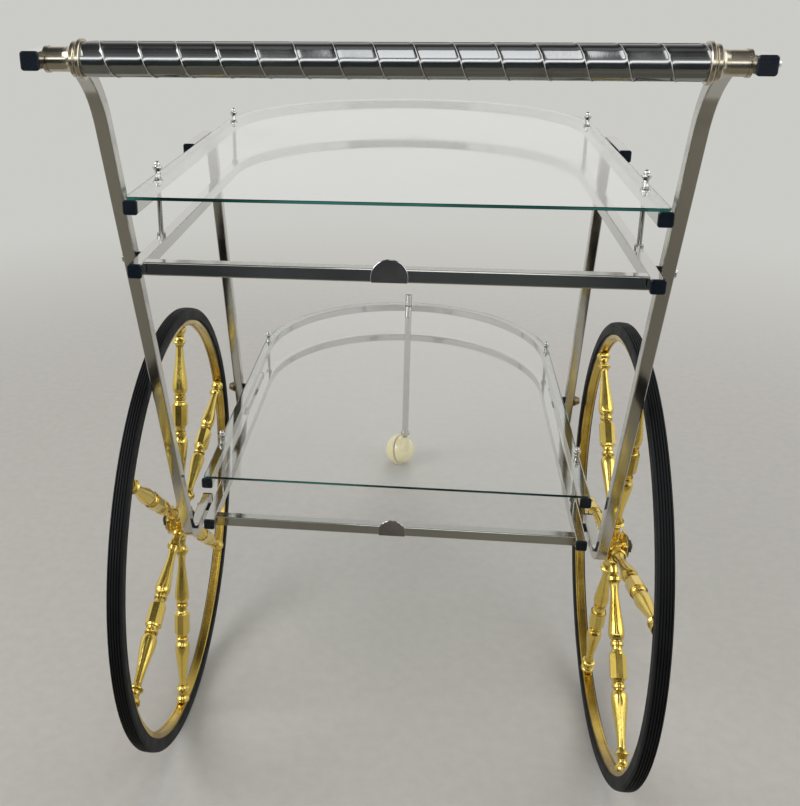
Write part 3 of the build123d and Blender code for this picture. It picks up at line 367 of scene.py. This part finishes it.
# %% Assign the finishes
WEARS = {
    shaded_leg_chrome: ("front_leg_left", "front_leg_right", "rear_leg_left", "rear_leg_right"),
    rod_chrome: ("upper_shelf_rods", "lower_shelf_rods"),
    chrome: ("caster_post", "upper_shelf_bottom_rail", "upper_shelf_top_rail", "upper_shelf_crossbar",
             "lower_shelf_bottom_rail", "lower_shelf_top_rail", "lower_shelf_crossbar"),
    bright_chrome: ("upper_shelf_finials", "lower_shelf_finials", "frame_screws", "handle_screws",
                    "caster_post_screws"),
    dark_chrome: ("upper_shelf_badge", "lower_shelf_badge"),
    nickel: ("handle_collars", "handle_ferrules", "caster_post_collar"),
    steel: ("handle_core", "axle_pins", "caster_axle"),
    bronze: ("brace_bolts", "axle_washers", "axle_nuts", "caster_stem"),
    brass: ("left_wheel_hub", "left_wheel_spokes", "right_wheel_hub", "right_wheel_spokes"),
    rim_brass: ("left_wheel_rim", "right_wheel_rim"),
    rubber: ("left_wheel_tyre", "right_wheel_tyre"),
    cap_plastic: ("rail_end_caps", "leg_end_caps", "frame_spacers"),
    glass: ("upper_shelf_glass", "lower_shelf_glass"),
    ivory: ("caster_wheel", "caster_hood"),
}
for material, names in WEARS.items():
    for name in names:
        nodes[name].data.materials.clear()
        nodes[name].data.materials.append(material)
print("dressed", sum(len(names) for names in WEARS.values()), "pieces")

# %% [markdown]
# ## The strip-wound grip
# The grip is a steel strip wound round a tube and plated. From outside it is a cylinder with a spiral
# seam, where the two edges of the strip turn up against each other in a thin ridge. A cylinder with a bump
# map would not bend the outline or the reflections properly, so the surface is written out. One parameter
# is the turn round the handle. The other is the place across the strip, and the grid is sheared so that
# its lines run along the seam: then a few close lines at each seam are enough. Where the sheared grid
# passes the ends it is clamped to them, and doubled points there are merged. The bore closes the tube
# inside.

# %% Wind the grip
STRIP_PITCH = 0.0226
SEAM_START = -0.0083
RIDGE_HEIGHT = 0.00032
RIDGE_WIDTH = 0.0008
DIRT_ASIDE = 0.00055
BORE = 0.0086
CROWN_PROUD = 0.0001
ROUND_STEPS = 120
TURNS_EACH_WAY = 10
MERGE = 1e-6


def wound_radius(x, angle, crown):
    """Crown radius plus a ridge that falls off to each side of the seam like a peaked bell.

    The seam lies where x equals its start plus the pitch times the turn, so the distance from the
    nearest seam is that remainder folded to half a pitch each way.
    """
    lead = (x - SEAM_START) / STRIP_PITCH - angle / (2 * np.pi)
    aside = (lead - np.round(lead)) * STRIP_PITCH
    ridge = RIDGE_HEIGHT * np.exp(-(np.abs(aside) / RIDGE_WIDTH) ** 1.1)
    return crown + ridge, aside


def surface(name, points, attributes):
    """Closed mesh of a grid of points whose rows and columns both join up, with named values per point."""
    rows, columns = points.shape[:2]
    index = np.arange(rows * columns).reshape(rows, columns)
    below, beside = np.roll(index, -1, axis=0), np.roll(index, -1, axis=1)
    corner = np.roll(below, -1, axis=1)
    quads = np.stack([index, beside, corner, below], axis=-1).reshape(-1, 4)
    mesh = bpy.data.meshes.new(name)
    mesh.from_pydata(points.reshape(-1, 3).tolist(), [], quads.tolist())
    for label, values in attributes.items():
        mesh.attributes.new(label, "FLOAT", "POINT").data.foreach_set("value", values.ravel())
    shell = bmesh.new()
    shell.from_mesh(mesh)
    bmesh.ops.remove_doubles(shell, verts=shell.verts, dist=MERGE)
    bmesh.ops.recalc_face_normals(shell, faces=shell.faces)
    shell.to_mesh(mesh)
    shell.free()
    mesh.shade_smooth()
    piece = bpy.data.objects.new(name, mesh)
    scene.collection.objects.link(piece)
    return piece


grip_low, grip_high = (np.array(corner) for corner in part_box("handle_grip"))
grip_middle = (grip_low + grip_high) / 2
grip_half = (grip_high[0] - grip_low[0]) / 2
crown = (grip_high[2] - grip_low[2]) / 2 + CROWN_PROUD

angles = np.linspace(0, 2 * np.pi, ROUND_STEPS, endpoint=False)
near_seam = np.array([0.0, 0.14, 0.3, 0.5, 0.75, 1.05, 1.4, 1.9, 2.6, 3.6, 5.5, 8.5]) / 1000
across = np.concatenate([-near_seam[:0:-1], near_seam, [STRIP_PITCH / 2]])
turns = np.arange(-TURNS_EACH_WAY, TURNS_EACH_WAY)
station = (turns[:, None] * STRIP_PITCH + across[None, :] + SEAM_START).ravel()
x = np.clip(station[:, None] + STRIP_PITCH * angles[None, :] / (2 * np.pi), -grip_half, grip_half)
radius, aside = wound_radius(x, angles[None, :], crown)
ring = np.ones_like(angles)[None, :]
x = np.concatenate([-grip_half * ring, x, grip_half * ring])
radius = np.concatenate([BORE * ring, radius, BORE * ring])
aside = np.concatenate([ring, aside, ring])
points = np.stack([x + grip_middle[0], grip_middle[1] - radius * np.sin(angles),
                   grip_middle[2] + radius * np.cos(angles)], axis=-1)
grip = surface("grip_winding", points, {"from_seam": np.abs(aside), "from_dirt": np.abs(aside - DIRT_ASIDE)})
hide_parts("handle_grip")
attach(grip, "frame")
print("grip has", len(grip.data.polygons), "faces and a strip", STRIP_PITCH * 1000, "mm wide")

# %% [markdown]
# The strip's own finish is chrome again, with greys set darker than the other chrome as painted shade for
# the dark reflections along the handle. It has a little dirt along one side of the ridge, where it catches on
# the overlapping edge, and a pale line painted along the crest as a painted highlight, made rougher there
# too. The distances from the crest and from the dirt were stored on the mesh when the surface was made, so
# the shader reads them there.
# Both are plain distances without a sign. A signed one would jump from plus to minus half way between two
# seams, and the mesh would blend it through zero and draw a false seam there.

# %% Finish of the grip
grip_chrome, tree, shader, where = bare_material("grip chrome", Metallic=1.0)
from_dirt = add(tree, "Attribute", {"attribute_name": "from_dirt"}).outputs["Fac"]
gap = add(tree, "MapRange", Value=from_dirt, From_Min=0.00010, From_Max=0.00045, To_Min=0.5, To_Max=0.0)
# The grip's greys are darker than the other chrome: painted shade for the dark reflections along the handle.
colour = use(tree, TARNISH, Vector=where, Scale=14.0, Spread=0.4, Clean=(0.345, 0.36, 0.365, 1),
             Dull=(0.25, 0.245, 0.24, 1))
soiled = add(tree, "Mix", {"data_type": "RGBA"}, i0=gap.outputs[0], i6=colour.outputs["Color"],
             i7=(0.10, 0.085, 0.07, 1))
from_seam = add(tree, "Attribute", {"attribute_name": "from_seam"}).outputs["Fac"]
# Painted highlight: a pale line along the crest of each ridge, which is also made rougher.
crest_highlight = add(tree, "MapRange", Value=from_seam, From_Min=0.00012, From_Max=0.00034, To_Min=0.85, To_Max=0.0)
crest_highlighted = add(tree, "Mix", {"data_type": "RGBA"}, i0=crest_highlight.outputs[0], i6=soiled.outputs[2],
             i7=(0.86, 0.85, 0.81, 1))
wear = use(tree, HANDLING_WEAR, Vector=where, Smudge_Scale=22.0, Smooth=0.08, Rough=0.19, Waviness=0.15)
satin = add(tree, "MapRange", Value=crest_highlight.outputs[0], To_Min=wear.outputs["Roughness"], To_Max=0.6)
bump = add(tree, "Bump", Strength=0.3, Distance=0.0003, Height=wear.outputs["Height"])
tree.links.new(crest_highlighted.outputs[2], shader.inputs["Base Color"])
tree.links.new(satin.outputs[0], shader.inputs["Roughness"])
tree.links.new(bump.outputs[0], shader.inputs["Normal"])
grip.data.materials.append(grip_chrome)
print("grip finished in", grip_chrome.name)

# %% [markdown]
# ## Floor, light and background
# Polished metal shows what is round it, so the surroundings are part of its finish. The world behind the
# viewer is bright near the horizon and darker above, which gives each tube a dark band between two bright
# ones. A light patch straight overhead keeps the tubes bright when they are seen from the top. Behind the
# cart it is a pale backdrop that reaches higher, and lights up the tops of the tubes. The floor is a plain
# pale sheet that fades to the backdrop's tone far out, so there is no horizon line. Three large soft lamps
# light the cart from the front left, the right and the back. A long narrow one behind the viewer draws the
# bright line along the handle, and one high up lays the short bright patch above it.

# %% Floor
FLOOR_HALF = 9.0
FADE = (0.75, 2.2)
PALE = (0.60, 0.60, 0.57, 1)

corners = np.array([-FLOOR_HALF, FLOOR_HALF])
floor_mesh = bpy.data.meshes.new("floor")
floor_points = np.stack(np.meshgrid(corners, corners, [0.0], indexing="ij"), axis=-1).reshape(-1, 3)
floor_mesh.from_pydata(floor_points.tolist(), [], [(0, 2, 3, 1)])
floor = bpy.data.objects.new("floor", floor_mesh)
scene.collection.objects.link(floor)

pale, tree, shader, where = bare_material("pale floor", Roughness=0.85)
mottle = add(tree, "TexNoise", Vector=where, Scale=70.0, Detail=5.0)
tone = add(tree, "Mix", {"data_type": "RGBA"}, i0=mottle.outputs[0], i6=(0.435, 0.42, 0.395, 1),
           i7=(0.52, 0.50, 0.47, 1))
out = add(tree, "VectorMath", {"operation": "LENGTH"}, i0=where)
fade = add(tree, "MapRange", {"interpolation_type": "SMOOTHSTEP"}, Value=out.outputs["Value"],
           From_Min=FADE[0], From_Max=FADE[1])
ray = add(tree, "LightPath")
seen = math_node(tree, "MAXIMUM", ray.outputs["Is Camera Ray"],
                 math_node(tree, "MAXIMUM", ray.outputs["Is Glossy Ray"], ray.outputs["Is Transmission Ray"]))
far = add(tree, "Emission", Color=PALE, Strength=1.0)
sheet = add(tree, "MixShader", Fac=math_node(tree, "MULTIPLY", fade.outputs[0], seen), i1=shader.outputs[0],
            i2=far.outputs[0])
tree.links.new(tone.outputs[2], shader.inputs["Base Color"])
tree.links.new(sheet.outputs[0], tree.nodes["Material Output"].inputs["Surface"])
floor.data.materials.append(pale)
print("floor fades to the pale backdrop between", FADE, "metres")

# %% World and lamps
world = bpy.data.worlds.new("studio")
scene.world = world
world.use_nodes = True
tree = world.node_tree
direction = add(tree, "SeparateXYZ", Vector=add(tree, "TexCoord").outputs["Generated"])
height = add(tree, "MapRange", Value=direction.outputs["Z"], From_Min=-1.0).outputs[0]


def sky(levels):
    """Grey ramp from the pale floor up, read by the direction's height: 0.5 at the horizon, 1 overhead."""
    ramp = add(tree, "ValToRGB", Fac=height)
    stops = ramp.color_ramp.elements
    stops[0].position, stops[0].color = 0.49, PALE
    stops[1].position = levels[-1][0]
    for position, level in levels:
        stop = stops[-1] if position == levels[-1][0] else stops.new(position)
        stop.color = (level, 0.985 * level, 0.96 * level, 1)
    return ramp.outputs[0]


room = sky(((0.53, 0.80), (0.60, 0.80), (0.68, 0.42), (0.76, 0.15), (0.80, 0.26), (0.84, 0.10), (0.90, 0.12),
            (0.972, 0.05), (1.0, 0.34)))
backdrop = sky(((0.53, 0.80), (0.72, 0.78), (0.84, 0.40), (0.92, 0.10), (0.972, 0.05), (1.0, 0.34)))
behind_cart = add(tree, "MapRange", {"interpolation_type": "SMOOTHSTEP"}, Value=direction.outputs["Y"],
                  From_Min=0.0, From_Max=0.4)
around = add(tree, "Mix", {"data_type": "RGBA"}, i0=behind_cart.outputs[0], i6=room, i7=backdrop)
tree.links.new(around.outputs[2], tree.nodes["Background"].inputs["Color"])


def lamp(name, place, toward, width, height, power):
    """Soft oblong lamp at a place, turned to face a point."""
    light = bpy.data.objects.new(name, bpy.data.lights.new(name, "AREA"))
    light.data.shape = "RECTANGLE"
    light.data.size = width
    light.data.size_y = height
    light.data.energy = power
    scene.collection.objects.link(light)
    away = np.array(place) - np.array(toward)
    away = away / np.linalg.norm(away)
    side = np.cross([0, 0, 1], away)
    side = side / np.linalg.norm(side)
    axes = np.column_stack([side, np.cross(away, side), away])
    light.matrix_world = Matrix.Translation(place) @ Matrix(axes.tolist()).to_4x4()
    return light


lamps = [
    lamp("key_lamp", (-2.3, -1.2, 2.0), (0, 0, 0.4), 1.8, 1.8, 48),
    lamp("fill_lamp", (1.9, -0.6, 1.7), (0, 0, 0.4), 2.0, 2.0, 20),
    lamp("strip_lamp", (0.0, -1.6, 0.96), (0, 0, 0.96), 3.0, 0.22, 3.6),
    lamp("ceiling_lamp", (0.10, -1.8, 2.3), (0.10, -0.6, 0.4), 0.70, 2.0, 8),
    lamp("back_lamp", (0.3, 2.2, 2.0), (0, 0, 0.4), 1.6, 1.6, 28),
]
lamps[-1].visible_glossy = False
for light in lamps:
    light.visible_transmission = False
print("lamps:", [light.name for light in lamps])

# %% [markdown]
# A mirror-like bar that faces the viewer shows the room behind the viewer, and one that leans shows the floor
# in front of the cart. A dark screen stands behind the viewer and a dark mat lies in front of the cart, both
# seen by reflections only. They give the crossbars their dark faces, and the legs and the handle their dark
# lower halves, and the bright floor and sky round them leave the pale lines along the edges.

# %% Dark screen and mat
SCREEN_Y = -1.55
SCREEN_HALF = 1.6
SCREEN_TOP = 0.745
MAT_END = -0.30
MAT_RISE = 0.002


def reflected_sheet(name, x, y, z, deep, pale):
    """Flat cloudy cloth between corner coordinates, y or z a single value, that only reflections show."""
    points = np.stack(np.meshgrid(x, y, z, indexing="ij"), axis=-1).reshape(-1, 3)
    mesh = bpy.data.meshes.new(name)
    mesh.from_pydata(points.tolist(), [], [(0, 1, 3, 2)])
    sheet = bpy.data.objects.new(name, mesh)
    scene.collection.objects.link(sheet)
    for kind in ("camera", "diffuse", "transmission", "shadow", "volume_scatter"):
        setattr(sheet, "visible_" + kind, False)
    cloth, tree, shader, where = bare_material(name + " cloth", Roughness=0.9)
    folds = add(tree, "TexNoise", Vector=where, Scale=2.6, Detail=4.0)
    worn = add(tree, "MapRange", Value=folds.outputs[0], From_Min=0.35, From_Max=0.75)
    tone = add(tree, "Mix", {"data_type": "RGBA"}, i0=worn.outputs[0], i6=deep, i7=pale)
    tree.links.new(tone.outputs[2], shader.inputs["Base Color"])
    mesh.materials.append(cloth)
    return sheet


sides = [-SCREEN_HALF, SCREEN_HALF]
screen = reflected_sheet("dark_screen", sides, [SCREEN_Y], [0.0, SCREEN_TOP],
                         (0.012, 0.017, 0.022, 1), (0.110, 0.125, 0.130, 1))
# The mat is partly painted shade: it stands for the darker, shaded floor in front of the cart, and only
# reflections see it.
mat = reflected_sheet("dark_mat", sides, [SCREEN_Y, MAT_END], [MAT_RISE],
                      (0.155, 0.143, 0.115, 1), (0.262, 0.240, 0.192, 1))
print("reflections see", screen.name, SCREEN_TOP, "m tall and", mat.name, MAT_END - SCREEN_Y, "m deep")
